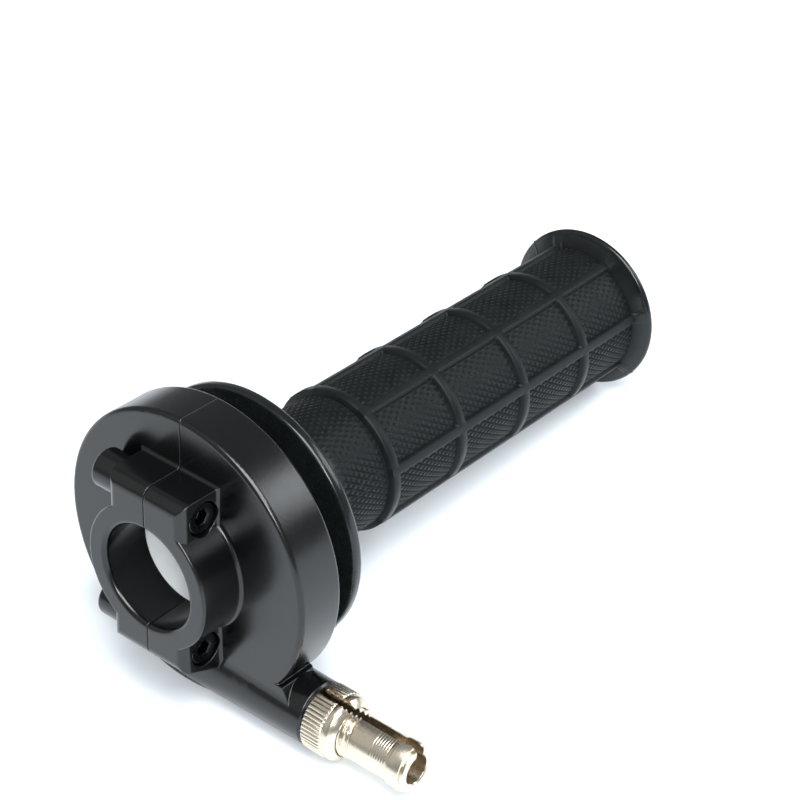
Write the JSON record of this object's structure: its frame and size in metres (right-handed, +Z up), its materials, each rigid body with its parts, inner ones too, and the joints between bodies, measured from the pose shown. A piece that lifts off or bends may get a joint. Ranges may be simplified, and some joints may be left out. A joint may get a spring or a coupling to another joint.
{
  "type": "motorcycle throttle grip",
  "caption": "Quick-turn motorcycle throttle: split clamp housing with cable drum, rubber grip on a turning tube, and a slotted cable adjuster.",
  "frame": {"origin": "centre of the handlebar bore where its straight wall starts, 1.1 mm inside the clamp collar's inboard face", "axes": "+Y outboard along the handlebar, +Z up, +X towards the cable exit"},
  "size_m": [0.0863, 0.1415, 0.0635],
  "materials": {
    "coated_alloy": "satin black coating on cast alloy",
    "black_steel": "black oxide steel",
    "spring_steel": "plain spring steel",
    "white_nylon": "milky white nylon, slightly translucent",
    "rubber": "matt black rubber",
    "nickel_plate": "bright nickel plate on turned brass"
  },
  "bodies": {
    "housing": {"housing_right_half": "coated_alloy", "housing_left_half": "coated_alloy", "clamp_screw_upper": "black_steel", "clamp_screw_lower": "black_steel", "lock_washer_upper": "spring_steel", "lock_washer_lower": "spring_steel"},
    "twist_grip": {"throttle_tube": "white_nylon", "grip": "rubber"},
    "lock_nut": {"lock_nut": "nickel_plate"},
    "cable_adjuster": {"cable_adjuster": "nickel_plate"}
  },
  "joints": [
    {"name": "throttle_twist", "type": "hinge", "parent": "housing", "child": "twist_grip", "pos_m": [0, 0.0199, 0], "axis": [0, 1, 0], "range_deg": [0, 75]},
    {"name": "lock_nut_turn", "type": "hinge", "parent": "housing", "child": "lock_nut", "pos_m": [0.03165, 0.0145, -0.0253], "axis": [1, 0, 0], "range_deg": [-720, 1440]},
    {"name": "adjuster_travel", "type": "slide", "parent": "lock_nut", "child": "cable_adjuster", "axis": [1, 0, 0], "range_m": [-0.0025, 0.005]}
  ],
  "couplings": [
    {"joint": "adjuster_travel", "follows": "lock_nut_turn", "m_per_rad": 0.00019894}
  ]
}
